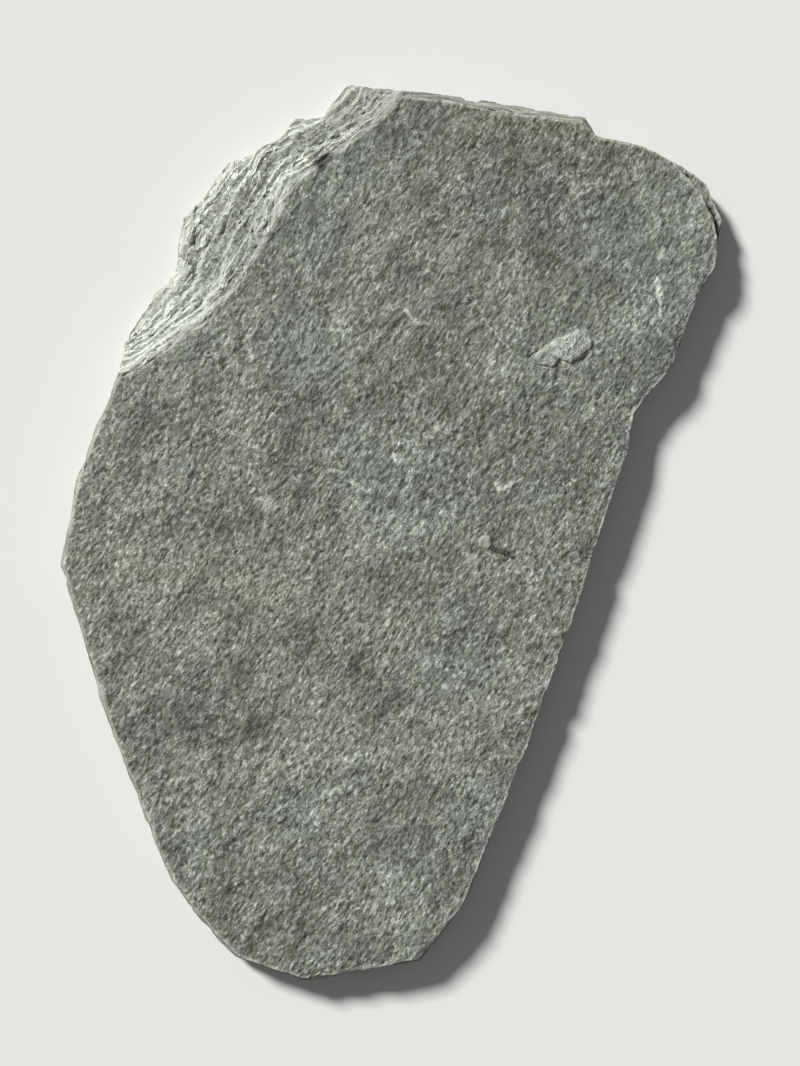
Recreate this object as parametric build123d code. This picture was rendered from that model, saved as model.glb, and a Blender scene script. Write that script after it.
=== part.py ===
"""Slate flagstone: one slab split along its cleavage, with hammered edges and a spalled corner.

The stone lies on its bed at z = 0 with the riven face up and its head towards +Y.
Sizes are in millimetres and angles in degrees.
"""

import math
import os

from build123d import *

# Overall size, between the outermost points of the stone
WIDTH = 740.0
LENGTH = 990.0
THICKNESS = 38.0

# Riven face: rise of its long, low swells, and the run from one swell to the next.
# Each swell has its share of the rise, its waves to a run across and along, and its phase.
SWELL_RISE = 2.6
SWELL_RUN = 390.0
SWELLS = [(0.50, 0.52, 0.85, 0.6), (0.30, 1.25, -0.80, 2.1), (0.20, 0.70, 2.10, 4.0)]

# Hammered edges: height of the widest line above the bed, how far it wanders up and down,
# and how far the bed stands in from it
BELLY_HEIGHT = 15.0
BELLY_WANDER = 4.0
BED_INSET = 5.0

# Rake of the edge above its widest line, inwards from upright, on each stretch of the outline
HEAD_RAKE = 30.0
SHOULDER_RAKE = 12.0
RIGHT_RAKE = 7.0
FOOT_RAKE = 15.0
LEFT_RAKE = 10.0
SPALL_RAKE = 12.0

# Spall at the head's left corner: thickness of the sheets of slate that came away, the place of
# each one's torn end from the top sheet down, as a share of the way from the ridge to the stone's
# edge, and how far the torn ends wander
SHEET_DROP = 2.8
SHEET_ENDS = [0.00, 0.10, 0.21, 0.33, 0.57, 0.82, 0.92]
TORN_WANDER = 3.0

# Rake of every torn step from upright, depth of the ledge at the right shoulder, and height of
# the scab of the next sheet up that still stands on the riven face
TORN_RAKE = 20.0
LEDGE_DROP = 8.0
SCAB_RISE = 3.0

# Plan of the stone, clockwise from the head's left corner. Each corner is a pair of shares, of
# WIDTH from the left and of LENGTH from the foot.
HEAD = [(0.435, 1.000), (0.565, 0.995), (0.689, 0.984), (0.786, 0.972)]
SHOULDER = [(0.804, 0.951), (0.873, 0.942), (0.941, 0.916), (0.975, 0.900), (1.000, 0.854)]
RIGHT = [(0.984, 0.800), (0.957, 0.763), (0.919, 0.689), (0.860, 0.633), (0.851, 0.592), (0.817, 0.522),
         (0.773, 0.418), (0.693, 0.255)]
FOOT = [(0.602, 0.081), (0.534, 0.019), (0.360, 0.000), (0.255, 0.028)]
LEFT = [(0.193, 0.081), (0.152, 0.128), (0.075, 0.278), (0.000, 0.464), (0.022, 0.561)]
SPALLED = [(0.075, 0.664), (0.115, 0.740), (0.158, 0.773), (0.168, 0.807), (0.177, 0.849), (0.214, 0.879),
           (0.248, 0.912), (0.289, 0.926), (0.329, 0.942), (0.351, 0.963), (0.382, 0.968), (0.419, 0.995)]

# Ridges where the riven face ends, clockwise and past the stone at both ends, each with a corner
# beyond the stone that closes what came away. The spall's edge has a corner for each of its
# ridge's, along the outline. The scab's outline is clockwise too.
SPALL_RIDGE = [(0.050, 0.664), (0.115, 0.682), (0.205, 0.731), (0.248, 0.763), (0.289, 0.814), (0.311, 0.842),
               (0.339, 0.886), (0.398, 0.919), (0.472, 0.961), (0.534, 1.016)]
SPALL_EDGE = [(0.020, 0.690), (0.085, 0.715), (0.150, 0.772), (0.163, 0.795), (0.175, 0.845), (0.205, 0.875),
              (0.255, 0.918), (0.345, 0.958), (0.425, 0.997), (0.490, 1.050)]
SPALL_BEYOND = (-0.150, 1.150)
LEDGE_RIDGE = [(0.893, 0.950), (0.938, 0.908), (0.960, 0.888), (0.981, 0.858), (0.996, 0.820)]
LEDGE_BEYOND = (1.150, 1.050)
SCAB = [(0.696, 0.698), (0.733, 0.717), (0.770, 0.729), (0.795, 0.719), (0.789, 0.705), (0.761, 0.689),
        (0.742, 0.694), (0.733, 0.684), (0.708, 0.687)]

# Turn from corner to corner in the sine that makes the widest line and the torn ends wander
WANDER_TURN = 2.4

# Room that cutting shapes reach over the riven face and past the stone's sides, and the spacing
# of the points that carry the swells
HEADROOM = 5.0
SIDE_ROOM = 30.0
POINT_SPACING = 60.0


def plan(share):
    """The place in plan of a pair of shares, measured from the middle of the stone."""
    across, along = share
    return Vector((across - 0.5) * WIDTH, (along - 0.5) * LENGTH)


def run_of(rake, height):
    """How far a face at that rake from upright runs sideways over a height."""
    return height * math.tan(math.radians(rake))


def right_of(start, end):
    """The unit vector to the right of the way from start to end."""
    way = (end - start).normalized()
    return Vector(way.Y, -way.X)


def moved_right(corners, distances):
    """A closed outline with its edges moved to their right: inwards where it runs clockwise."""
    moved = []
    for i, corner in enumerate(corners):
        normal = right_of(corners[i - 1], corner)
        bisector = (normal + right_of(corner, corners[(i + 1) % len(corners)])).normalized()
        moved.append(corner + bisector * (distances[i] / bisector.dot(normal)))
    return moved


def ring(corners, heights):
    """A closed outline through the corners, each at its own height."""
    return Wire.make_polygon([Vector(c.X, c.Y, z) for c, z in zip(corners, heights)])


def torn_block(corners, low):
    """A block on an outline, up past the riven face, with sides at the rake of a torn step.

    It grows upwards on an anticlockwise outline, and narrows on a clockwise one.
    """
    count = len(corners)
    high = THICKNESS + HEADROOM
    raked = moved_right(corners, [run_of(TORN_RAKE, high - low)] * count)
    return Solid.make_loft([ring(corners, [low] * count), ring(raked, [high] * count)], ruled=True)


def swell(x, y):
    """Height of the riven face above its mean, between -1 and 1."""
    turn = 2 * math.pi / SWELL_RUN
    return sum(share * math.sin(turn * (across * x + along * y) + phase)
               for share, across, along, phase in SWELLS)


def cleavage(depth):
    """The cleavage plane that lies that far under the riven face, reaching past the stone's sides."""
    def stations(size):
        reach = size + 2 * SIDE_ROOM
        steps = math.ceil(reach / POINT_SPACING)
        return [(i / steps - 0.5) * reach for i in range(steps + 1)]

    half_rise = SWELL_RISE / 2
    mean = THICKNESS - half_rise - depth
    points = [[Vector(x, y, mean + half_rise * swell(x, y)) for x in stations(WIDTH)]
              for y in stations(LENGTH)]
    return Face.make_surface_from_array_of_points(points, min_deg=3, max_deg=3)


def above(depth):
    """Everything above the cleavage plane at that depth."""
    return extrude(cleavage(depth), amount=2 * THICKNESS, dir=(0, 0, 1))


def lowest(depth):
    """A level that the cleavage plane at that depth nowhere goes under."""
    return THICKNESS - SWELL_RISE - depth


def hammered_block():
    """The stone before it is split: its outline and raked edges, up past the riven face."""
    stretches = [(HEAD, HEAD_RAKE), (SHOULDER, SHOULDER_RAKE), (RIGHT, RIGHT_RAKE), (FOOT, FOOT_RAKE),
                 (LEFT, LEFT_RAKE), (SPALLED, SPALL_RAKE)]
    corners = [plan(share) for shares, rake in stretches for share in shares]
    rakes = [rake for shares, rake in stretches for share in shares]
    count = len(corners)
    tall = THICKNESS + HEADROOM
    bellies = [BELLY_HEIGHT + BELLY_WANDER * math.sin(WANDER_TURN * i) for i in range(count)]
    insets = [run_of(rake, tall - belly) for rake, belly in zip(rakes, bellies)]
    bed = ring(moved_right(corners, [BED_INSET] * count), [0.0] * count)
    widest = ring(corners, bellies)
    top = ring(moved_right(corners, insets), [tall] * count)
    return Solid.make_loft([bed, widest, top], ruled=True)


def lost_sheet(torn_end, beyond, depth):
    """What came away above the cleavage plane at that depth, outwards of its torn end."""
    return torn_block(torn_end + [plan(beyond)], lowest(depth)) & above(depth)


def torn_end(sheet):
    """Torn end of one sheet of the spall, part of the way from the ridge to the stone's edge."""
    end = []
    for i, (ridge, edge) in enumerate(zip(SPALL_RIDGE, SPALL_EDGE)):
        outwards = plan(edge) - plan(ridge)
        wander = TORN_WANDER * math.sin(WANDER_TURN * i * sheet)
        end.append(plan(ridge) + outwards * SHEET_ENDS[sheet] + outwards.normalized() * wander)
    return end


def scab():
    """The flake of the next sheet up that still stands on the riven face, rooted in the stone."""
    return torn_block([plan(share) for share in SCAB], lowest(SCAB_RISE)) - above(-SCAB_RISE)


os.makedirs("parts", exist_ok=True)
stone = hammered_block() - above(0.0)
for sheet in range(len(SHEET_ENDS)):
    stone -= lost_sheet(torn_end(sheet), SPALL_BEYOND, SHEET_DROP * (sheet + 1))
stone -= lost_sheet([plan(share) for share in LEDGE_RIDGE], LEDGE_BEYOND, LEDGE_DROP)
stone += scab()
export_step(stone, "parts/flagstone.step")
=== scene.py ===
"""Slate flagstone: the riven stone dressed over its plain solid, lying on a pale floor.

Sizes are in metres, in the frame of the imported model: the bed at z = 0 and the head towards +Y.
"""

import math

import bmesh
import bpy
import numpy as np
from mathutils import Matrix, Vector
from mathutils.bvhtree import BVHTree


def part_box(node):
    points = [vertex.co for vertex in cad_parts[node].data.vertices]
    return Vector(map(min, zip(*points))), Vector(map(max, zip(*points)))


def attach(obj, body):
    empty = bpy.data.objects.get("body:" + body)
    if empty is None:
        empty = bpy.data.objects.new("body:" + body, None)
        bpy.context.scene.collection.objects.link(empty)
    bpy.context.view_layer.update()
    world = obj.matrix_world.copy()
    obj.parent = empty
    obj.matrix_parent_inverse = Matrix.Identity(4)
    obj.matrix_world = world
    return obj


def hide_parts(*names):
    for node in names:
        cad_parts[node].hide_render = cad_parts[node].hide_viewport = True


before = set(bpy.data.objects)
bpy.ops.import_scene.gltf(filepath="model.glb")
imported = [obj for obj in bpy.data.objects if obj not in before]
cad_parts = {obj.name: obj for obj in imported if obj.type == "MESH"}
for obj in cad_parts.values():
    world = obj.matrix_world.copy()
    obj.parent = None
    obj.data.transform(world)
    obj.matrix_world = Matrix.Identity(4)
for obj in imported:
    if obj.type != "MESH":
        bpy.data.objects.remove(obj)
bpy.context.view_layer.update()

# Mesh of the stone: spacing of the points that carry the relief, and the triangles kept of it
POINT_SPACING = 0.0016
TRIANGLES_KEPT = 190_000
MERGE_DISTANCE = 1e-5
SHARP_ANGLE = math.radians(50)

# A side face leans at most this far from upright: the highest share of its normal that is vertical.
# The distance to it is measured no further than the rim's reach.
SIDE_LEAN = 0.75
RIM_REACH = 0.030

# Places on the stone are pairs of shares, of its width from the left and of its length from the foot.
# Spall at the head's left corner: the ridge where the riven face ends, the edge that it reaches, the
# torn ends of its lost sheets as shares of the way between them, and how far in from the ridge the
# level of the riven face is read
SPALL_RIDGE = [(0.050, 0.664), (0.115, 0.682), (0.205, 0.731), (0.248, 0.763), (0.289, 0.814),
               (0.311, 0.842), (0.339, 0.886), (0.398, 0.919), (0.472, 0.961), (0.534, 1.016)]
SPALL_EDGE = [(0.020, 0.690), (0.085, 0.715), (0.150, 0.772), (0.163, 0.795), (0.175, 0.845),
              (0.205, 0.875), (0.255, 0.918), (0.345, 0.958), (0.425, 0.997), (0.490, 1.050)]
SHEET_ENDS = [0.00, 0.10, 0.21, 0.33, 0.57, 0.82, 0.92]
LEVEL_INSET = 0.008

# Ledge at the right shoulder: the ridge where the riven face ends, and the crack along it, with its
# distance from the ridge, its reach to each side, its swing and the share of the stone's length where
# it ends
LEDGE_RIDGE = [(0.893, 0.950), (0.938, 0.908), (0.960, 0.888), (0.981, 0.858), (0.996, 0.820)]
CRACK_PLACE = 0.0005
CRACK_REACH = 0.0038
CRACK_SWING = 0.006
CRACK_TOP = 0.905

# Scab of the next sheet up that stands on the riven face: its outline, its length from its thin end
# to its thick end, the run of its streaks and how many go to the metre, along that run and across it
SCAB = [(0.696, 0.698), (0.733, 0.717), (0.770, 0.729), (0.795, 0.719), (0.789, 0.705), (0.761, 0.689),
        (0.742, 0.694), (0.733, 0.684), (0.708, 0.687)]
SCAB_THIN_END = (0.700, 0.686)
SCAB_THICK_END = (0.752, 0.710)
SCAB_ANGLE = math.radians(38)
SCAB_STREAKS = (60.0, 230.0, 230.0)

# Pits in the riven face, painted dark with the shade in them, and small flakes that still stand on it,
# each with its place and radius.
# A flake's outline swings, and its top is a share of its radius wide.
PITS = [((0.811, 0.877), 0.005), ((0.380, 0.911), 0.007), ((0.389, 0.914), 0.006), ((0.398, 0.917), 0.005),
        ((0.386, 0.905), 0.004)]
FLAKES = [((0.629, 0.490), 0.009), ((0.610, 0.469), 0.010), ((0.307, 0.529), 0.010)]
FLAKE_SWING = 0.016
FLAKE_TOP = 0.7

# Strokes on the riven face, each with the places of its ends, its reach to each side and its strength:
# pale scratches and edges of lost flakes, and cuts painted dark with the shade in them. They swing, and
# have their full strength within a share of their reach.
PALE_STROKES = [((0.893, 0.785), (0.896, 0.768), 0.0046, 1.0), ((0.896, 0.768), (0.897, 0.747), 0.0028, 0.9),
                ((0.896, 0.812), (0.902, 0.822), 0.0040, 0.8), ((0.627, 0.740), (0.668, 0.702), 0.0018, 0.5),
                ((0.645, 0.556), (0.650, 0.552), 0.0050, 0.9), ((0.656, 0.551), (0.683, 0.561), 0.0036, 0.9),
                ((0.509, 0.749), (0.524, 0.735), 0.0030, 0.6), ((0.524, 0.735), (0.540, 0.733), 0.0032, 0.6),
                ((0.655, 0.742), (0.672, 0.738), 0.0034, 0.5), ((0.660, 0.733), (0.684, 0.728), 0.0032, 0.5),
                ((0.374, 0.550), (0.388, 0.570), 0.0034, 0.4), ((0.388, 0.570), (0.420, 0.566), 0.0030, 0.4),
                ((0.492, 0.586), (0.494, 0.580), 0.0044, 0.9), ((0.265, 0.600), (0.272, 0.606), 0.0040, 0.7),
                ((0.430, 0.556), (0.445, 0.548), 0.0036, 0.7), ((0.520, 0.500), (0.535, 0.512), 0.0034, 0.6)]
DARK_STROKES = [((0.641, 0.483), (0.668, 0.476), 0.0054, 1.0), ((0.741, 0.688), (0.733, 0.668), 0.0032, 0.8),
                ((0.378, 0.911), (0.397, 0.916), 0.0050, 0.8), ((0.655, 0.770), (0.640, 0.757), 0.0044, 0.4)]
STROKE_SWING = 0.014
STROKE_CORE = 0.2

# Lineation of the cleavage: the mineral streaks rise to the right at this angle, and the finest grain
# is this many times finer across it
LINEATION_ANGLE = math.radians(57)
FINER_ACROSS = 1.8

# Relief of the stone, set on the inputs of its node tree
RELIEF = {
    "Grain Length": 0.0110,
    "Grain Width": 0.0046,
    "Grain Height": 0.0021,
    "Hummock Run": 0.017,
    "Hummock Height": 0.0026,
    "Cleft Run": 0.090,
    "Cleft Step": 0.0006,
    "Edge Wander": 0.0036,
    "Edge Run": 0.040,
    "Spall Edge Wander": 0.0090,
    "Sheet Thickness": 0.0028,
    "Torn Wander": 0.0260,
    "Torn Run": 0.040,
    "Riser Run": 0.0032,
    "Tread Roll": 0.0030,
    "Flake Rise": 0.0030,
    "Flake Step": 0.0014,
    "Break Grain": 0.0018,
    "Highest Lift": 0.0050,
    "Lamina Thickness": 0.0032,
    "Lamina Depth": 0.0026,
    "Chip Run": 0.030,
    "Chip Depth": 0.0050,
    "Pit Depth": 0.0032,
    "Flake Height": 0.0015,
    "Crack Depth": 0.0040,
    "Scab Taper": 0.0030,
    "Ledge Wander": 0.0070,
    "Scab Wander": 0.0050,
}

# Shares in the relief: grain left on the scab, risers of the clefts and of the spall's flakes, the
# steepest and the gentlest of the torn risers, the wander of the first torn end, the stretch of torn
# ends along the ridge, and the depth of an arris's chips
SCAB_GRAIN = 0.70
CLEFT_RISER = 0.2
FLAKE_RISER = 0.35
RISER_SHARES = (0.5, 2.4)
FIRST_END_WANDER = 0.4
TORN_STRETCH = 0.45
ARRIS_CHIP = 0.6

# Clefts: rise of their noise from one level to the next, and the number of levels over its whole range
CLEFT_RISE = 0.11
CLEFT_LEVELS = 9.0

# Laminae of the hammered sides: runs to the metre along them, in the relief and in the colour, and
# laminae to the metre of height in the colour
LAMINA_RUNS = 14.0
LAMINA_TONE_RUNS = 16.0
LAMINA_TONES_HIGH = 520.0

# Bands over which the relief takes hold, each from no effect to full effect.
# By the vertical share of a surface's normal: upright sides, all that looks up, and level faces
UPRIGHT_TURN = (0.90, 0.45)
UPPER_TURN = (-0.2, 0.1)
LEVEL_TURN = (0.50, 0.90)

# By the distance in from the outline, past the spall's ridge (its steps, its ground), past its first
# torn end, and up from the bed
INSIDE_BAND = (0.0005, 0.0030)
STEPPED_BAND = (-0.004, 0.0)
GROUND_BAND = (-0.015, -0.006)
SPALL_BAND = (-0.0005, 0.0010)
BED_BAND = (0.0, 0.004)

# By the distance from what wanders or chips: the outline, the spall's ridge, the ledge's ridge, the
# scab's outline and the arris
EDGE_BAND = (0.035, 0.0)
SPALL_EDGE_BAND = (0.0, 0.020)
LEDGE_BAND = (0.012, 0.002)
SCAB_EDGE_BAND = (0.008, 0.002)
ARRIS_BAND = (0.010, 0.0)

# By the distance in from the scab's outline: the scab itself, and its smoother top
SCAB_BAND = (-0.0008, 0.0008)
SCAB_TOP_BAND = (0.0, 0.002)

# Tones of the stone as they show on a screen, from 0 to 255. The riven face, the treads of the spall,
# the sides and the scab each run between two tones, and the other tones lie over them.
FACE_TONES = ((117, 122, 112), (121, 124, 109))
TREAD_TONES = ((107, 111, 100), (171, 176, 164))
SIDE_TONES = ((104, 107, 97), (162, 164, 152))
SCAB_TONES = ((98, 102, 96), (172, 177, 169))
THREAD_TONE = (190, 195, 184)
PALE_STROKE_TONE = (206, 211, 200)
# Painted shade: the near-black of the pits and the dark cuts
PIT_AND_CUT_SHADE_TONE = (48, 51, 45)
SPALL_EDGE_TONE = (186, 191, 178)
# Torn ends and risers of the spall: pale as fresh breaks and partly as painted light, as they face the key
# light
FRESH_AND_LIT_END_TONE = (232, 236, 226)
FRESH_AND_LIT_RISER_TONE = (198, 203, 191)
FRESH_SIDE_TONE = (172, 177, 164)
CRYSTAL_TONE = (228, 233, 225)
FLAKE_TONE = (172, 177, 165)
# Painted shadow: the near-black along the crack, where the face's edge shades the ledge
CRACK_SHADOW_TONE = (44, 46, 42)
RIM_TONE = (184, 187, 172)
CHIP_TONE = (160, 164, 152)

# The most that each finish hides of the one below it, and for the rim also the least
THREAD_COVER = 0.75
SPALL_EDGE_COVER = 0.35
TORN_END_COVER = 0.9
RISER_COVER = 0.5
FRESH_SIDE_COVER = 0.6
CRYSTAL_COVER = 0.8
SCAB_COVER = 0.9
FLAKE_COVER = 0.7
CRACK_SHADOW_COVER = 0.85
RIM_COVERS = (0.35, 0.9)
SPALL_COVER = 0.95
PIT_SHADE_COVER = 0.9
CHIP_COVER = 0.5

# Tints of the riven face: colour as it shows, strength, and the two places between which it lies with
# its reach to the sides
TINTS = [((103, 105, 82), 0.95, (0.62, 0.955), (0.79, 0.930), 0.085),
         ((98, 102, 91), 0.75, (0.54, 0.885), (0.80, 0.875), 0.090),
         ((108, 112, 101), 0.70, (0.70, 0.620), (0.79, 0.520), 0.090),
         ((125, 126, 108), 0.75, (0.08, 0.50), (0.34, 0.42), 0.160),
         ((122, 123, 106), 0.65, (0.06, 0.64), (0.20, 0.60), 0.080),
         ((114, 123, 115), 0.60, (0.75, 0.68), (0.92, 0.85), 0.120),
         ((120, 129, 116), 0.60, (0.32, 0.82), (0.44, 0.94), 0.035),
         ((120, 119, 94), 0.60, (0.815, 0.765), (0.810, 0.735), 0.020),
         ((128, 118, 86), 0.75, (0.970, 0.760), (0.800, 0.470), 0.018),
         ((140, 104, 62), 0.85, (0.797, 0.452), (0.785, 0.425), 0.012)]

# Painted light and shade of the riven face: what its grain, its finest grain, its grit, its bright flecks
# and its dark flecks each give. Grain, finest grain and grit follow the heights of the relief and of the
# bump, so the crests are painted lighter and the dips painted darker; the bright flecks are partly pale
# flecks of the stone and partly painted highlights. It is calmer towards the head, over a band of y.
GRAIN_LIGHT = 0.88
FINE_LIGHT = 1.62
GRIT_LIGHT = 0.35
BRIGHT_FLECK_LIGHT = 1.15
DARK_FLECK_LIGHT = -0.4
CALM_BAND = (0.10, 0.35)
CALM_LIGHT = 0.84

# Bright places gain a painted highlight of linear light, like light off mica, which is more neutral than the
# stone between them. Dark ones, down to the deepest painted shade, lose a share of their own tone and a
# share of the highlight.
PAINTED_GLINT_TONE = (0.180, 0.188, 0.190)
DEEPEST_PAINTED_SHADE = 0.75
TONE_LOSS = 0.7
PAINTED_GLINT_LOSS = 0.3

# Broad clouds of the riven face and streaks along its lineation: how much each lightens or darkens it
CLOUD_LIGHT = 0.7
STREAK_LIGHT = 0.75

# Colour of the spall: ends of laminae between its ridge and its edge, how many ends they swing and
# crumble by, the share of each that rises, their stretch along the ridge, and the darker stretch
# towards the head, as a band of the way along the ridge
LAMINA_ENDS = 6.0
LAMINA_SWING = 2.8
LAMINA_CRUMBLE = 0.30
LAMINA_RISER = (0.66, 1.0)
LAMINA_STRETCH = 0.30
HEAD_COURSE = (0.32, 0.44)
HEAD_SHADE = 0.64

# Bands over which a finish takes hold: the spall's pale outer edge by the distance from the outline,
# fresh sides by the distance past the ridge, the worn rim by the distance from the sides, and its
# return, from a share, by the distance from the scab's outline
SPALL_EDGE_PALE_BAND = (0.024, 0.002)
FRESH_SIDE_BAND = (0.002, 0.012)
RIM_BAND = (0.0040, 0.0010)
OFF_SCAB_BAND = (0.0020, 0.0060)
SCAB_RIM = 0.30

# How much of the scab's tone its thin end loses
THIN_END_LOSS = 0.85

# Finest relief, in the finish alone: its depth, and the shares of grit in the face and in the break
# and of the break's crumbs and steps. Roughness runs from dull stone to glossy grit.
FINEST_DEPTH = 0.0011
FACE_GRIT = 0.3
BREAK_GRIT = 0.5
BREAK_SHARE = 0.8
ROUGHNESS = (0.72, 0.50)

# Height by which one noise of the finish lies above the one with the seed before it
SEED_SHIFT = 0.23

# Camera: how far the view leans from straight down, towards the stone's left
LEAN_LEFT = math.radians(7)
CAMERA_DISTANCE = 2.3
FRAME_WIDTH = 0.88

# Studio: direction, spread and strength of the key light, the strength of the surround, and the floor
# with the backdrop beyond it
KEY_AZIMUTH = math.radians(138)
KEY_ELEVATION = math.radians(31)
KEY_SPREAD = math.radians(11)
KEY_STRENGTH = 5.2
SURROUND_STRENGTH = 0.16
FLOOR_SIZE = 200.0
FLOOR_TONE = (228, 228, 225)
FLOOR_ROUGHNESS = 0.9
BACKDROP_TONE = (226, 227, 223)


def linear(red, green, blue):
    """A colour given as it shows on a screen, from 0 to 255, as linear light."""
    def channel(value):
        value /= 255
        return value / 12.92 if value <= 0.04045 else ((value + 0.055) / 1.055) ** 2.4

    return (channel(red), channel(green), channel(blue), 1.0)


def stone_place(share):
    """The place in plan of a pair of shares of the stone's width and length."""
    low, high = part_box("flagstone")
    return np.array([low.x + share[0] * (high.x - low.x), low.y + share[1] * (high.y - low.y)])


def stone_places(shares):
    return [stone_place(share) for share in shares]


class Graph:
    """Adds nodes to one tree and wires them, so that a formula reads in the order it is worked out."""

    def __init__(self, tree):
        self.tree = tree

    def node(self, kind, wires=(), **settings):
        node = self.tree.nodes.new(kind)
        for name, value in settings.items():
            setattr(node, name, value)
        for key, value in dict(wires).items():
            self.wire(value, node.inputs[key])
        return node

    def wire(self, value, socket):
        if isinstance(value, bpy.types.NodeSocket):
            self.tree.links.new(value, socket)
        else:
            socket.default_value = value

    def math(self, operation, *values):
        return self.node("ShaderNodeMath", enumerate(values), operation=operation).outputs[0]

    def add(self, *values):
        total = values[0]
        for value in values[1:]:
            total = self.math("ADD", total, value)
        return total

    def times(self, *values):
        product = values[0]
        for value in values[1:]:
            product = self.math("MULTIPLY", product, value)
        return product

    def less(self, a, b):
        return self.math("SUBTRACT", a, b)

    def over(self, a, b):
        return self.math("DIVIDE", a, b)

    def greater(self, a, b):
        return self.math("MAXIMUM", a, b)

    def lesser(self, a, b):
        return self.math("MINIMUM", a, b)

    def size(self, value):
        """The value without its sign."""
        return self.math("ABSOLUTE", value)

    def blend(self, share, a, b):
        """From value a to value b as the share goes from 0 to 1."""
        return self.add(a, self.times(share, self.less(b, a)))

    def ramp(self, value, start, end, low=0.0, high=1.0):
        """Smoothly from low to high as the value goes from start to end, which may run backwards."""
        wires = {"Value": value, "From Min": start, "From Max": end, "To Min": low, "To Max": high}
        return self.node("ShaderNodeMapRange", wires, interpolation_type="SMOOTHSTEP").outputs["Result"]

    def hump(self, share):
        """From 0 up to 1 and back again as the share goes from 0 to 1."""
        return self.times(share, self.less(1.0, share), 4.0)

    def terrace(self, value, step, riser):
        """The value in level steps, each rising over the last share of its run."""
        levels = self.over(value, step)
        rise = self.ramp(self.math("FRACT", levels), 1.0 - riser, 1.0)
        return self.times(self.add(self.math("FLOOR", levels), rise), step)

    def xyz(self, vector):
        return self.node("ShaderNodeSeparateXYZ", {0: vector}).outputs

    def vector(self, x, y, z):
        return self.node("ShaderNodeCombineXYZ", {0: x, 1: y, 2: z}).outputs[0]

    def vectors(self, operation, a, b):
        return self.node("ShaderNodeVectorMath", {0: a, 1: b}, operation=operation).outputs[0]

    def measure(self, operation, a, b):
        """The distance between two vectors, or their dot product."""
        return self.node("ShaderNodeVectorMath", {0: a, 1: b}, operation=operation).outputs["Value"]

    def scaled(self, vector, factor):
        return self.node("ShaderNodeVectorMath", {0: vector, "Scale": factor}, operation="SCALE").outputs[0]

    def turned(self, vector, angle):
        """The vector turned clockwise in plan, so that x then runs along a line that rises at that angle."""
        wires = {"Vector": vector, "Axis": (0, 0, 1), "Angle": -angle}
        return self.node("ShaderNodeVectorRotate", wires, rotation_type="AXIS_ANGLE").outputs[0]

    def noise(self, place, scale=1.0, detail=2.0, roughness=0.5, distortion=0.0, seed=0.0):
        """A noise of the relief, which differs with its seed."""
        wires = {"Vector": place, "W": seed, "Scale": scale, "Detail": detail, "Roughness": roughness,
                 "Distortion": distortion}
        return self.node("ShaderNodeTexNoise", wires, noise_dimensions="4D").outputs

    def mottle(self, place, scale=1.0, detail=2.0, roughness=0.5, distortion=0.0, seed=0.0):
        """A quicker noise for the finish, which its seed shifts in height instead."""
        wires = {"Vector": self.vectors("ADD", place, (0.0, 0.0, seed * SEED_SHIFT)), "Scale": scale,
                 "Detail": detail, "Roughness": roughness, "Distortion": distortion}
        return self.node("ShaderNodeTexNoise", wires, noise_dimensions="3D").outputs

    def centred(self, noise):
        """A noise's value, from about -1 to 1."""
        return self.math("MULTIPLY_ADD", noise["Fac"], 2.0, -1.0)

    def swing(self, noise, width):
        """A noise's colour as a move in plan, within a square of that width about 0."""
        about_zero = self.vectors("SUBTRACT", noise["Color"], (0.5, 0.5, 0.5))
        return self.vectors("MULTIPLY", about_zero, (width, width, 0.0))

    def along_line(self, plan, start, end):
        """A place in plan beside the line between two others: its offset, the line, and the share along."""
        start = Vector((*stone_place(start), 0.0))
        way = Vector((*stone_place(end), 0.0)) - start
        offset = self.vectors("SUBTRACT", plan, start)
        return offset, way, self.measure("DOT_PRODUCT", offset, way / way.length_squared)

    def from_line(self, plan, start, end):
        """How far a place in plan lies from the line between two others."""
        offset, way, share = self.along_line(plan, start, end)
        held = self.lesser(self.greater(share, 0.0), 1.0)
        return self.measure("DISTANCE", offset, self.scaled(way, held))

    def mix(self, share, a, b):
        """From colour a to colour b as the share goes from 0 to 1."""
        return self.node("ShaderNodeMix", {0: share, 6: a, 7: b}, data_type="RGBA").outputs[2]

    def between(self, tones, share):
        """From the first of two screen tones to the second as the share goes from 0 to 1."""
        return self.mix(share, linear(*tones[0]), linear(*tones[1]))

    def painted(self, colour, tone, share):
        """A colour with a screen tone over a share of it."""
        return self.mix(share, colour, linear(*tone))


def plain_copy():
    """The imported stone's mesh with its loose triangles joined up."""
    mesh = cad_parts["flagstone"].data.copy()
    shape = bmesh.new()
    shape.from_mesh(mesh)
    bmesh.ops.remove_doubles(shape, verts=shape.verts, dist=MERGE_DISTANCE)
    shape.to_mesh(mesh)
    shape.free()
    return mesh


def frozen(piece):
    """Turns a piece with its modifiers into a plain mesh."""
    graph = bpy.context.evaluated_depsgraph_get()
    mesh = bpy.data.meshes.new_from_object(piece.evaluated_get(graph))
    piece.modifiers.clear()
    piece.data = mesh


def points_of(mesh):
    places = np.empty(len(mesh.vertices) * 3, np.float32)
    mesh.vertices.foreach_get("co", places)
    return places.reshape(-1, 3).astype(float)


def store(mesh, name, values):
    mesh.attributes.new(name, "FLOAT", "POINT").data.foreach_set("value", values.astype(np.float32))


def lines_through(corners):
    return list(zip(corners, corners[1:]))


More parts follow.
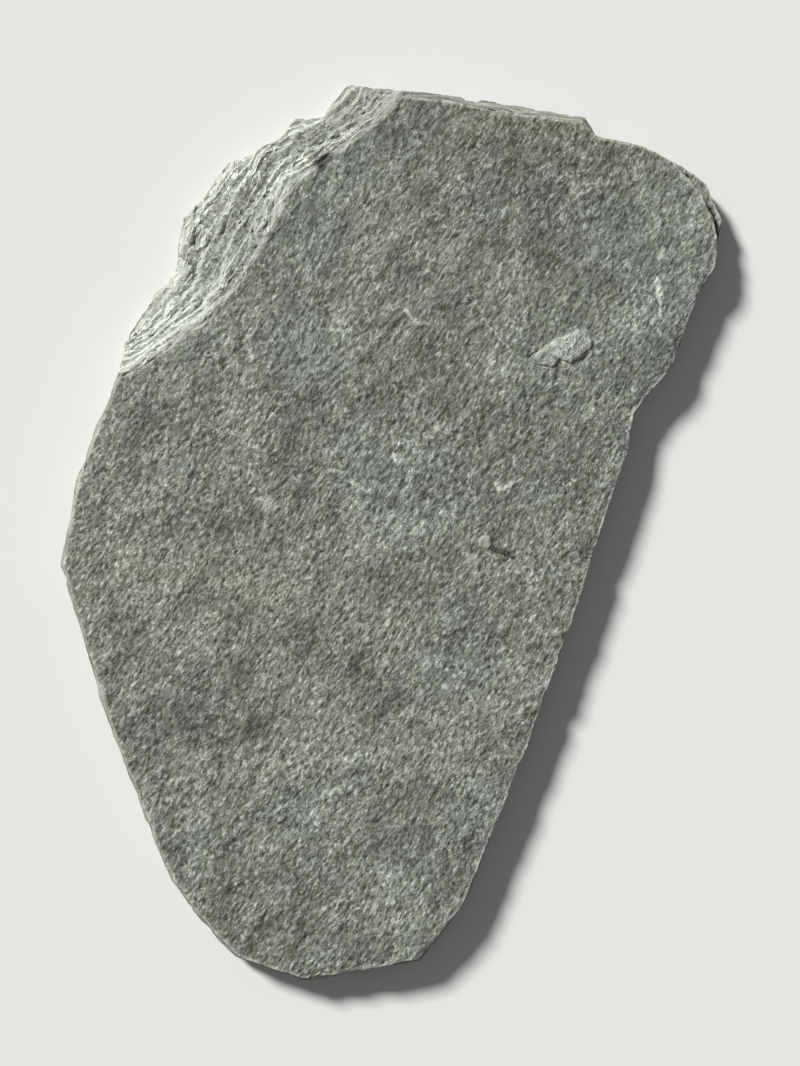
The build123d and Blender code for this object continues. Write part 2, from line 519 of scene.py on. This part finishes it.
def nearest_on(plan, lines):
    """The line nearest to each point in plan: how far, on which side, and its number plus the share along."""
    nearest = np.full(len(plan), np.inf)
    side = np.zeros(len(plan))
    number = np.zeros(len(plan))
    for i, (start, end) in enumerate(lines):
        way = end - start
        offset = plan - start
        along = np.clip(offset @ way / (way @ way), 0.0, 1.0)
        away = np.linalg.norm(offset - along[:, None] * way, axis=1)
        closer = away < nearest
        nearest[closer] = away[closer]
        side[closer] = np.sign(way[0] * offset[:, 1] - way[1] * offset[:, 0])[closer]
        number[closer] = i + along[closer]
    return nearest, side, number


def within(plan, lines):
    """Whether each point lies inside an outline of lines in plan."""
    odd = np.zeros(len(plan), bool)
    x, y = plan.T
    for (x0, y0), (x1, y1) in lines:
        crosses = (y0 > y) != (y1 > y)
        odd ^= crosses & (x < (x1 - x0) * (y - y0) / (y1 - y0) + x0)
    return odd


def widest_line(plain):
    """The lines, in plan, along which the stone's sides turn from looking up to looking down."""
    shape = bmesh.new()
    shape.from_mesh(plain)
    lines = []
    for edge in shape.edges:
        if edge.link_faces[0].normal.z * edge.link_faces[1].normal.z < 0:
            start, end = (np.array(corner.co.xy) for corner in edge.verts)
            if not np.allclose(start, end):
                lines.append((start, end))
    shape.free()
    return lines


def face_levels(plain, ridge):
    """Height of the riven face beside each corner of the spall's ridge."""
    solid = BVHTree.FromPolygons([v.co for v in plain.vertices], [tuple(f.vertices) for f in plain.polygons])
    found = []
    for i, corner in enumerate(ridge):
        way = ridge[min(i + 1, len(ridge) - 1)] - ridge[max(i - 1, 0)]
        inwards = np.array([way[1], -way[0]]) / np.linalg.norm(way)
        above = Vector((*(corner + inwards * LEVEL_INSET), 1.0))
        hit = solid.ray_cast(above, Vector((0, 0, -1)))[0]
        found.append(hit.z if hit else np.nan)
    known = ~np.isnan(found)
    numbers = np.arange(len(ridge))
    return np.interp(numbers, numbers[known], np.array(found)[known])


def rim_distance(places, plain):
    """How far each point lies from the nearest side face of the plain stone."""
    corners = [vertex.co for vertex in plain.vertices]
    sides = [tuple(face.vertices) for face in plain.polygons if abs(face.normal.z) < SIDE_LEAN]
    tree = BVHTree.FromPolygons(corners, sides)
    found = (tree.find_nearest(place, RIM_REACH)[3] for place in places)
    return np.array([RIM_REACH if distance is None else distance for distance in found])


def measure_spall(mesh, plain, plan):
    """Stores how far each point lies past the spall's ridge, and what goes with the nearest place on it.

    Those are the reach from the ridge to the edge, the level of the riven face and the way along the ridge.
    """
    ridge = stone_places(SPALL_RIDGE)
    lines = lines_through(ridge)
    corners = np.arange(len(ridge))
    away, side, number = nearest_on(plan, lines)
    reaches = [np.linalg.norm(outer - inner) for inner, outer in zip(ridge, stone_places(SPALL_EDGE))]
    lengths = [np.linalg.norm(end - start) for start, end in lines]
    store(mesh, "beyond", away * side)
    store(mesh, "reach", np.interp(number, corners, reaches))
    store(mesh, "level", np.interp(number, corners, face_levels(plain, ridge)))
    store(mesh, "course", np.interp(number, corners, np.cumsum([0.0] + lengths)))


def measure_points(mesh, plain):
    """Stores on each point what the relief and the finish read: its place on the stone's features."""
    places = points_of(mesh)
    plan = places[:, :2]
    measure_spall(mesh, plain, plan)
    store(mesh, "edge", nearest_on(plan, widest_line(plain))[0])
    store(mesh, "rim", rim_distance(places, plain))
    scab = lines_through(stone_places(SCAB + SCAB[:1]))
    from_scab = nearest_on(plan, scab)[0]
    store(mesh, "scab", np.where(within(plan, scab), from_scab, -from_scab))
    away, side, _ = nearest_on(plan, lines_through(stone_places(LEDGE_RIDGE)))
    store(mesh, "ledge", away * side)
    hollow = np.zeros(len(plan))
    for place, radius in PITS:
        hollow += np.exp(-((np.linalg.norm(plan - stone_place(place), axis=1) / radius) ** 2))
    store(mesh, "pit", hollow)


def stone_fields(g):
    """What the relief reads at each point of the stone."""
    at = {name: g.node("GeometryNodeInputNamedAttribute", {"Name": name}).outputs["Attribute"]
          for name in ("beyond", "reach", "course", "level", "edge", "rim", "ledge", "scab", "pit")}
    at["place"] = g.node("GeometryNodeInputPosition").outputs[0]
    at["plan"] = g.vectors("MULTIPLY", at["place"], (1.0, 1.0, 0.0))
    at["normal"] = g.xyz(g.node("GeometryNodeInputNormal").outputs[0])
    at["height"] = g.xyz(at["place"])["Z"]
    at["upright"] = g.ramp(g.size(at["normal"]["Z"]), *UPRIGHT_TURN)
    at["upper"] = g.ramp(at["normal"]["Z"], *UPPER_TURN)
    at["inside"] = g.times(g.ramp(at["edge"], *INSIDE_BAND), at["upper"])
    at["stepped"] = g.times(at["inside"], g.ramp(at["beyond"], *STEPPED_BAND))
    at["up"] = g.greater(g.ramp(at["normal"]["Z"], *LEVEL_TURN), at["stepped"])
    return at


def edge_wander(g, given, at):
    """Sideways move that makes the outline wander, most along the spall, and the edges of ledge and scab."""
    noise = g.noise(at["place"], g.over(1.0, given["Edge Run"]), detail=4.0, roughness=0.55, seed=1.0)
    unit_swing = g.swing(noise, 2.0)
    spalled = g.times(g.ramp(at["beyond"], *SPALL_EDGE_BAND), given["Spall Edge Wander"])
    by_edge = g.times(g.ramp(at["edge"], *EDGE_BAND), g.add(given["Edge Wander"], spalled))
    by_ledge = g.times(g.ramp(g.size(at["ledge"]), *LEDGE_BAND), given["Ledge Wander"])
    by_scab = g.times(g.ramp(g.size(at["scab"]), *SCAB_EDGE_BAND), given["Scab Wander"])
    return g.scaled(unit_swing, g.greater(g.greater(by_edge, by_ledge), by_scab))


def from_crack(g, at):
    """How far a place lies from the ragged crack along the ledge."""
    swing = g.centred(g.noise(at["place"], 60.0, detail=4.0, roughness=0.62, seed=27.0))
    away = g.size(g.less(g.add(at["ledge"], g.times(swing, CRACK_SWING)), CRACK_PLACE))
    past_top = g.less(g.xyz(at["place"])["Y"], float(stone_place((0.0, CRACK_TOP))[1]))
    return g.add(away, g.greater(past_top, 0.0))


def standing_flakes(g, at):
    """Mask of the small flakes that still stand on the riven face."""
    noise = g.noise(at["place"], 120.0, detail=3.0, roughness=0.6, seed=9.0)
    ragged = g.vectors("ADD", at["plan"], g.swing(noise, FLAKE_SWING))
    mask = 0.0
    for place, radius in FLAKES:
        away = g.measure("DISTANCE", ragged, (*stone_place(place), 0.0))
        mask = g.greater(mask, g.ramp(away, radius, FLAKE_TOP * radius))
    return mask


def scab_taper(g, at):
    """How thin the scab is: 1 at the tip of its thin end, and 0 on its thick part and off the scab."""
    along = g.along_line(at["plan"], SCAB_THIN_END, SCAB_THICK_END)[2]
    return g.times(g.ramp(along, 1.0, 0.0), g.ramp(at["scab"], *SCAB_BAND))


def face_relief(g, given, at):
    """Grain along the lineation, mask of the standing flakes, height of the grain, and the broader relief."""
    along = g.turned(at["place"], LINEATION_ANGLE)
    lengths = g.vector(given["Grain Length"], given["Grain Width"], given["Grain Width"])
    grain = g.centred(g.noise(g.vectors("DIVIDE", along, lengths), detail=1.5, roughness=0.55, seed=2.0))
    hummocks = g.centred(g.noise(at["place"], g.over(1.0, given["Hummock Run"]), detail=2.0, seed=8.0))
    cleft_scale = g.over(1.0, given["Cleft Run"])
    clefts = g.noise(at["place"], cleft_scale, detail=4.0, roughness=0.6, distortion=0.4, seed=3.0)["Fac"]
    levels = g.less(g.terrace(clefts, CLEFT_RISE, CLEFT_RISER), 0.5)
    smooth = g.ramp(at["scab"], *SCAB_TOP_BAND, 1.0, SCAB_GRAIN)
    flakes = standing_flakes(g, at)
    cracked = g.ramp(from_crack(g, at), CRACK_REACH, 0.0)
    raised = g.add(g.times(hummocks, given["Hummock Height"], smooth),
                   g.times(levels, CLEFT_LEVELS, given["Cleft Step"]),
                   g.times(flakes, given["Flake Height"]))
    sunk = g.add(g.times(at["pit"], given["Pit Depth"]), g.times(cracked, given["Crack Depth"]))
    return grain, flakes, g.times(grain, given["Grain Height"], smooth), g.less(raised, sunk)


def spall_relief(g, given, at):
    """The spall's mask, its risers and its flaked depth under the riven face."""
    band = g.vector(g.times(at["course"], TORN_STRETCH), at["beyond"], at["height"])
    gentleness = g.ramp(g.noise(band, 26.0, detail=1.0, seed=41.0)["Fac"], 0.36, 0.62, *RISER_SHARES)
    riser_run = g.times(given["Riser Run"], gentleness)
    sheets_gone = 0.0
    risers = 0.0
    mask = None
    for sheet, end in enumerate(SHEET_ENDS):
        torn = g.noise(band, g.over(1.0, given["Torn Run"]), detail=5.0, roughness=0.62, seed=30.0 + sheet)
        wander = g.times(g.centred(torn), given["Torn Wander"], 1.0 if sheet else FIRST_END_WANDER)
        out = g.less(g.add(at["beyond"], wander), g.times(at["reach"], end))
        step = g.ramp(out, 0.0, riser_run)
        sheets_gone = g.add(sheets_gone, step)
        risers = g.add(risers, g.hump(step))
        mask = mask or g.ramp(out, *SPALL_BAND)
    flaking = g.centred(g.noise(band, 90.0, detail=4.0, roughness=0.62, seed=40.0))
    rolling = g.centred(g.noise(band, 24.0, detail=1.0, seed=42.0))
    loose = g.add(g.times(flaking, given["Flake Rise"]), g.times(rolling, given["Tread Roll"]))
    sunk = g.add(g.times(sheets_gone, given["Sheet Thickness"]), g.times(mask, loose))
    depth = g.greater(sunk, g.times(mask, given["Flake Step"]))
    return mask, risers, g.terrace(depth, given["Flake Step"], FLAKE_RISER)


def spall_ground(g, given, at, flaked):
    """Height of the ground: the spall's own surface on top, and sides cut off where they stand above it."""
    bottom = g.less(at["level"], flaked)
    cut_off = g.lesser(at["height"], bottom)
    lifted = g.lesser(bottom, g.add(at["height"], given["Highest Lift"]))
    ground = g.blend(at["stepped"], cut_off, lifted)
    return g.blend(g.ramp(at["beyond"], *GROUND_BAND), at["height"], ground)


def side_cuts(g, given, at):
    """Chips out of the arrises, and the move that cuts laminae and chips into the hammered sides."""
    bedding = g.vectors("MULTIPLY", at["place"], (LAMINA_RUNS, LAMINA_RUNS, 0.0))
    lamina = g.vectors("ADD", bedding, g.vector(0.0, 0.0, g.over(at["height"], given["Lamina Thickness"])))
    cut_back = g.ramp(g.noise(lamina, detail=2.0, roughness=0.6, seed=6.0)["Fac"], 0.35, 0.65)
    stretched = g.vectors("MULTIPLY", at["place"], (1.0, 1.0, 2.0))
    chip = g.ramp(g.noise(stretched, g.over(1.0, given["Chip Run"]), detail=2.0, seed=7.0)["Fac"], 0.52, 0.70)
    depth = g.add(g.times(cut_back, given["Lamina Depth"]), g.times(chip, given["Chip Depth"]))
    inwards = g.times(depth, -1.0)
    return chip, g.vector(g.times(at["normal"]["X"], inwards), g.times(at["normal"]["Y"], inwards), 0.0)


def relief_tree(material):
    """The stone's relief: grain and clefts on the face, torn sheets in the spall, laminae on the sides."""
    tree = bpy.data.node_groups.new("riven_relief", "GeometryNodeTree")
    tree.interface.new_socket("Stone", in_out="INPUT", socket_type="NodeSocketGeometry")
    for name in RELIEF:
        tree.interface.new_socket(name, in_out="INPUT", socket_type="NodeSocketFloat")
    tree.interface.new_socket("Stone", in_out="OUTPUT", socket_type="NodeSocketGeometry")
    g = Graph(tree)
    given = g.node("NodeGroupInput").outputs
    at = stone_fields(g)
    grain, flakes, bumps, broad = face_relief(g, given, at)
    spall, risers, flaked = spall_relief(g, given, at)
    chip, side_move = side_cuts(g, given, at)

    # Upwards move: the spall's ground, relief of the face and of the break, chips, the scab's thin end
    sunk = g.less(spall_ground(g, given, at, flaked), at["height"])
    rough = g.centred(g.noise(at["place"], 170.0, detail=3.0, roughness=0.6, seed=5.0))
    broken = g.times(spall, at["inside"])
    unbroken = g.less(1.0, spall)
    arris = g.times(chip, g.ramp(at["rim"], *ARRIS_BAND), at["up"], unbroken)
    rise = g.add(sunk, g.times(at["up"], broad), g.times(unbroken, at["up"], bumps),
                 g.times(broken, rough, given["Break Grain"]),
                 g.times(arris, given["Chip Depth"], -ARRIS_CHIP),
                 g.times(scab_taper(g, at), given["Scab Taper"], -1.0))

    # The whole move, which fades out at the flat bed
    sides = g.times(at["upright"], g.less(1.0, broken))
    sideways = g.vectors("ADD", edge_wander(g, given, at), g.scaled(side_move, sides))
    move = g.vectors("ADD", sideways, g.vector(0.0, 0.0, rise))
    move = g.scaled(move, g.ramp(at["height"], *BED_BAND))

    # What the finish reads is stored before the points move
    finish = {"spall": g.times(spall, at["upper"]), "riser": g.times(risers, broken), "upright": sides,
              "chip": g.add(arris, g.times(chip, sides)), "grain": grain, "flake": flakes}
    stone = given["Stone"]
    for name, value in finish.items():
        wires = {"Geometry": stone, "Name": name, "Value": value}
        stored = g.node("GeometryNodeStoreNamedAttribute", wires, data_type="FLOAT", domain="POINT")
        stone = stored.outputs[0]
    moved = g.node("GeometryNodeSetPosition", {"Geometry": stone, "Offset": move}).outputs[0]
    whole = g.node("GeometryNodeRealizeInstances", {0: moved}).outputs[0]
    finished = g.node("GeometryNodeSetMaterial", {"Geometry": whole, "Material": material}).outputs[0]
    g.node("NodeGroupOutput", {0: finished})
    return tree


def add_relief(piece, material):
    """Runs the relief tree on the piece, with its sizes set on the modifier."""
    tree = relief_tree(material)
    modifier = piece.modifiers.new("riven_relief", "NODES")
    modifier.node_group = tree
    for socket in tree.interface.items_tree:
        if socket.in_out == "INPUT" and socket.name in RELIEF:
            modifier[socket.identifier] = RELIEF[socket.name]
    frozen(piece)


def make_stone(material):
    """The dressed stone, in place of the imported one."""
    plain = plain_copy()
    piece = bpy.data.objects.new("riven_stone", plain)
    bpy.context.scene.collection.objects.link(piece)
    remesh = piece.modifiers.new("fine_points", "REMESH")
    remesh.mode = "VOXEL"
    remesh.voxel_size = POINT_SPACING
    frozen(piece)
    measure_points(piece.data, plain)
    add_relief(piece, material)
    thinned = piece.modifiers.new("thinned", "DECIMATE")
    thinned.ratio = TRIANGLES_KEPT / (2 * len(piece.data.polygons))
    thinned.use_collapse_triangulate = True
    frozen(piece)
    piece.data.shade_smooth()
    piece.data.set_sharp_from_angle(angle=SHARP_ANGLE)
    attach(piece, "root")
    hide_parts("flagstone")


def surface_fields(g):
    """What the finish reads at each place of the surface."""
    at = {name: g.node("ShaderNodeAttribute", attribute_name=name).outputs["Fac"]
          for name in ("spall", "beyond", "reach", "course", "riser", "upright", "chip", "grain", "flake",
                       "edge", "rim", "ledge", "scab", "pit")}
    at["place"] = g.node("ShaderNodeTexCoord").outputs["Object"]
    at["plan"] = g.vectors("MULTIPLY", at["place"], (1.0, 1.0, 0.0))
    lineation = g.turned(at["place"], LINEATION_ANGLE)
    at["along"] = g.vectors("MULTIPLY", lineation, (1.0, FINER_ACROSS, FINER_ACROSS))
    at["fine"] = g.centred(g.mottle(at["along"], 165.0, detail=4.0, roughness=0.62, seed=11.0))
    at["grit"] = g.centred(g.mottle(at["place"], 640.0, detail=1.0, seed=14.0))
    noise = g.mottle(at["place"], 75.0, detail=4.0, roughness=0.65, seed=21.0)
    at["ragged"] = g.vectors("ADD", at["plan"], g.swing(noise, STROKE_SWING))
    return at


def tinted_ground(g, at):
    """Broad colour of the riven face, with its ragged tints."""
    patches = g.mottle(at["place"], 8.0, detail=3.0, roughness=0.55, seed=13.0)["Fac"]
    colour = g.between(FACE_TONES, g.ramp(patches, 0.36, 0.64))
    ragged = g.ramp(g.mottle(at["place"], 34.0, detail=3.0, roughness=0.6, seed=19.0)["Fac"], 0.30, 0.62)
    for tone, strength, start, end, reach in TINTS:
        spread = g.ramp(g.from_line(at["plan"], start, end), reach, 0.0, 0.0, strength)
        colour = g.painted(colour, tone, g.times(spread, ragged))
    return colour


def painted_face_light(g, at):
    """Painted light and shade of the riven face's grain and flecks: above 0 where it is bright, below 0 where
    dark.
    """
    flecks = g.mottle(at["along"], 160.0, detail=3.0, roughness=0.65, seed=17.0)["Fac"]
    light = g.add(g.times(at["grain"], GRAIN_LIGHT), g.times(at["fine"], FINE_LIGHT),
                  g.times(at["grit"], GRIT_LIGHT),
                  g.ramp(flecks, 0.550, 0.630, 0.0, BRIGHT_FLECK_LIGHT),
                  g.ramp(flecks, 0.455, 0.370, 0.0, DARK_FLECK_LIGHT))
    return g.times(light, g.ramp(g.xyz(at["place"])["Y"], *CALM_BAND, 1.0, CALM_LIGHT))


def pale_threads(g, at):
    """Mask of the broken pale threads that wind over the riven face."""
    noise = g.mottle(at["place"], 34.0, detail=4.0, roughness=0.62, distortion=0.8, seed=18.0)
    winding = g.ramp(g.size(g.centred(noise)), 0.050, 0.010)
    broken = g.ramp(at["fine"], -0.15, 0.10)
    patchy = g.ramp(g.mottle(at["place"], 48.0, detail=1.0, seed=20.0)["Fac"], 0.52, 0.62)
    return g.times(winding, broken, patchy)


def face_colour(g, at):
    """Colour of the riven face: tints, painted shade in its dips and painted light on its crests, flecks,
    clouds, streaks and threads.
    """
    light = painted_face_light(g, at)
    # Painted highlight above 0, added in a neutral tone; painted shade below 0, taken off the tone and the
    # highlight
    painted_glint = g.greater(light, 0.0)
    painted_gloom = g.lesser(g.greater(g.times(light, -1.0), 0.0), DEEPEST_PAINTED_SHADE)
    darkened = g.scaled(tinted_ground(g, at), g.less(1.0, g.times(painted_gloom, TONE_LOSS)))
    colour = g.vectors("ADD", darkened, g.scaled(PAINTED_GLINT_TONE, g.less(painted_glint, g.times(painted_gloom, PAINTED_GLINT_LOSS))))
    clouds = g.centred(g.mottle(at["place"], 12.0, detail=4.0, roughness=0.6, seed=24.0))
    streaks = g.centred(g.mottle(at["along"], 16.0, detail=3.0, roughness=0.6, seed=28.0))
    colour = g.scaled(colour, g.add(1.0, g.times(clouds, CLOUD_LIGHT), g.times(streaks, STREAK_LIGHT)))
    return g.painted(colour, THREAD_TONE, g.times(pale_threads(g, at), THREAD_COVER))


def strokes(g, at, places):
    """Mask of ragged strokes on the riven face."""
    mask = 0.0
    for start, end, reach, strength in places:
        away = g.from_line(at["ragged"], start, end)
        mask = g.greater(mask, g.ramp(away, reach, STROKE_CORE * reach, 0.0, strength))
    return g.times(mask, g.ramp(g.add(at["fine"], at["grit"]), -0.55, -0.14))


def break_finish(g, at):
    """Colour and finest height of the break in the spall: pale torn edges of laminae over darker treads. The
    edges are pale partly as fresh breaks and partly as painted light, since they face the key.
    """
    crumbs = g.centred(g.mottle(at["place"], 230.0, detail=3.0, roughness=0.65, seed=15.0))
    along = g.vector(g.times(at["course"], LAMINA_STRETCH), at["beyond"], 0.0)
    swing = g.centred(g.mottle(along, 50.0, detail=4.0, roughness=0.6, seed=25.0))
    laminae = g.add(g.times(g.over(at["beyond"], at["reach"]), LAMINA_ENDS), g.times(swing, LAMINA_SWING),
                    g.times(crumbs, LAMINA_CRUMBLE))
    rise = g.ramp(g.math("FRACT", laminae), *LAMINA_RISER)
    torn = g.ramp(g.mottle(along, 40.0, detail=2.0, seed=22.0)["Fac"], 0.37, 0.55, 0.20, 1.0)
    torn_ends = g.times(g.hump(rise), torn)
    rough = g.add(crumbs, g.times(at["grit"], BREAK_GRIT))
    colour = g.between(TREAD_TONES, g.ramp(rough, -0.35, 0.40))
    outer = g.ramp(at["edge"], *SPALL_EDGE_PALE_BAND, 0.0, SPALL_EDGE_COVER)
    colour = g.painted(colour, SPALL_EDGE_TONE, outer)
    # Pale torn ends and risers: fresh breaks, partly painted light where they face the key light
    colour = g.painted(colour, FRESH_AND_LIT_END_TONE, g.times(torn_ends, TORN_END_COVER))
    colour = g.painted(colour, FRESH_AND_LIT_RISER_TONE, g.times(at["riser"], RISER_COVER))
    colour = g.scaled(colour, g.ramp(at["course"], *HEAD_COURSE, 1.0, HEAD_SHADE))
    steps = g.add(g.math("FLOOR", laminae), rise)
    return colour, g.less(g.times(rough, BREAK_SHARE), g.times(steps, BREAK_SHARE))


def side_colour(g, at):
    """Colour of the laminae on the hammered sides, paler where the spall has freshly broken them."""
    runs = (LAMINA_TONE_RUNS, LAMINA_TONE_RUNS, LAMINA_TONES_HIGH)
    laminae = g.mottle(g.vectors("MULTIPLY", at["place"], runs), detail=3.0, seed=16.0)["Fac"]
    colour = g.between(SIDE_TONES, g.ramp(laminae, 0.35, 0.65))
    fresh = g.ramp(at["beyond"], *FRESH_SIDE_BAND, 0.0, FRESH_SIDE_COVER)
    return g.painted(colour, FRESH_SIDE_TONE, fresh)


def scab_colour(g, at):
    """Colour of the scab: streaks along its own run, with bright crystals."""
    along = g.vectors("MULTIPLY", g.turned(at["place"], SCAB_ANGLE), SCAB_STREAKS)
    streaks = g.mottle(along, detail=4.0, roughness=0.7, seed=23.0)["Fac"]
    colour = g.between(SCAB_TONES, g.ramp(streaks, 0.40, 0.60))
    crystals = g.ramp(g.add(at["fine"], at["grit"]), 0.04, 0.26, 0.0, CRYSTAL_COVER)
    return g.painted(colour, CRYSTAL_TONE, crystals)


def worn_rim(g, at):
    """Mask of the pale worn rim, uneven along the stone's edges and weak around the scab."""
    worn = g.ramp(g.mottle(at["place"], 90.0, detail=2.0, seed=26.0)["Fac"], 0.36, 0.60, *RIM_COVERS)
    off_scab = g.ramp(g.size(at["scab"]), *OFF_SCAB_BAND, SCAB_RIM, 1.0)
    return g.times(g.ramp(at["rim"], *RIM_BAND), worn, off_scab)


def slate():
    """Riven slate: grey-green, grained along its lineation, with pale flecks and pale fresh breaks."""
    material = bpy.data.materials.new("riven_slate")
    material.use_nodes = True
    material.node_tree.nodes.clear()
    g = Graph(material.node_tree)
    at = surface_fields(g)
    fresh, break_height = break_finish(g, at)
    thick = g.less(1.0, g.times(scab_taper(g, at), THIN_END_LOSS))
    on_scab = g.times(g.ramp(at["scab"], *SCAB_BAND), thick, SCAB_COVER)
    # Painted shadow along the crack, where the face's edge shades the ledge below it
    cracked = g.ramp(from_crack(g, at), CRACK_REACH, 0.0, 0.0, CRACK_SHADOW_COVER)
    # Painted shade: the pits and the dark cuts darkened towards near-black
    hollows = g.greater(strokes(g, at, DARK_STROKES), g.times(at["pit"], PIT_SHADE_COVER))
    colour = g.mix(on_scab, face_colour(g, at), scab_colour(g, at))
    colour = g.painted(colour, FLAKE_TONE, g.times(at["flake"], FLAKE_COVER))
    colour = g.painted(colour, CRACK_SHADOW_TONE, cracked)
    colour = g.painted(colour, RIM_TONE, worn_rim(g, at))
    colour = g.painted(colour, PALE_STROKE_TONE, strokes(g, at, PALE_STROKES))
    colour = g.mix(g.times(at["spall"], SPALL_COVER), colour, fresh)
    colour = g.painted(colour, PIT_AND_CUT_SHADE_TONE, hollows)
    colour = g.mix(at["upright"], colour, side_colour(g, at))
    colour = g.painted(colour, CHIP_TONE, g.times(at["chip"], CHIP_COVER))

    face_height = g.add(at["fine"], g.times(at["grit"], FACE_GRIT))
    height = g.blend(at["spall"], face_height, break_height)
    bump = g.node("ShaderNodeBump", {"Strength": 1.0, "Distance": FINEST_DEPTH, "Height": height})
    roughness = g.ramp(at["grit"], -0.2, 0.5, *ROUGHNESS)
    wires = {"Base Color": colour, "Roughness": roughness, "Normal": bump.outputs[0]}
    surface = g.node("ShaderNodeBsdfPrincipled", wires)
    g.node("ShaderNodeOutputMaterial", {"Surface": surface.outputs[0]})
    return material


def make_floor():
    """A plain pale floor under the bed."""
    bpy.ops.mesh.primitive_plane_add(size=FLOOR_SIZE, location=(0, 0, 0))
    floor = bpy.context.object
    floor.name = "floor"
    material = bpy.data.materials.new("pale_floor")
    material.use_nodes = True
    surface = material.node_tree.nodes["Principled BSDF"]
    surface.inputs["Base Color"].default_value = linear(*FLOOR_TONE)
    surface.inputs["Roughness"].default_value = FLOOR_ROUGHNESS
    floor.data.materials.append(material)


def aim(thing, target, up):
    """Turns a camera or light to face a point, with its top towards up."""
    back = (thing.location - Vector(target)).normalized()
    right = Vector(up).cross(back).normalized()
    turn = Matrix((right, back.cross(right), back)).transposed()
    thing.rotation_euler = turn.to_euler()


def make_studio():
    """A broad key light that rakes the face from the head's left, and a pale surround that fills the shadows.

    Beyond the floor's edge the camera sees a backdrop of the floor's tone.
    """
    lamp = bpy.data.lights.new("key", "SUN")
    lamp.energy = KEY_STRENGTH
    lamp.angle = KEY_SPREAD
    key = bpy.data.objects.new("key", lamp)
    flat = math.cos(KEY_ELEVATION)
    key.location = (flat * math.cos(KEY_AZIMUTH), flat * math.sin(KEY_AZIMUTH), math.sin(KEY_ELEVATION))
    aim(key, (0, 0, 0), (0, 0, 1))
    bpy.context.scene.collection.objects.link(key)
    world = bpy.data.worlds.new("surround")
    world.use_nodes = True
    world.node_tree.nodes.clear()
    g = Graph(world.node_tree)
    fill = g.node("ShaderNodeBackground", {"Color": (1.0, 1.0, 1.0, 1.0), "Strength": SURROUND_STRENGTH})
    backdrop = g.node("ShaderNodeBackground", {"Color": linear(*BACKDROP_TONE)})
    in_view = g.node("ShaderNodeLightPath").outputs["Is Camera Ray"]
    shown = g.node("ShaderNodeMixShader", {0: in_view, 1: fill.outputs[0], 2: backdrop.outputs[0]})
    g.node("ShaderNodeOutputWorld", {"Surface": shown.outputs[0]})
    bpy.context.scene.world = world
    bpy.context.scene.view_settings.view_transform = "Standard"


def make_camera():
    """Looks down on the riven face, with the head at the top of the picture."""
    lens = bpy.data.cameras.new("camera")
    camera = bpy.data.objects.new("camera", lens)
    target = Vector((0.0, 0.0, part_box("flagstone")[1].z))
    camera.location = target + Vector((-math.sin(LEAN_LEFT), 0.0, math.cos(LEAN_LEFT))) * CAMERA_DISTANCE
    aim(camera, target, (0, 1, 0))
    lens.sensor_fit = "HORIZONTAL"
    lens.angle = 2 * math.atan(FRAME_WIDTH / 2 / CAMERA_DISTANCE)
    bpy.context.scene.collection.objects.link(camera)
    bpy.context.scene.camera = camera


make_stone(slate())
make_floor()
make_studio()
make_camera()
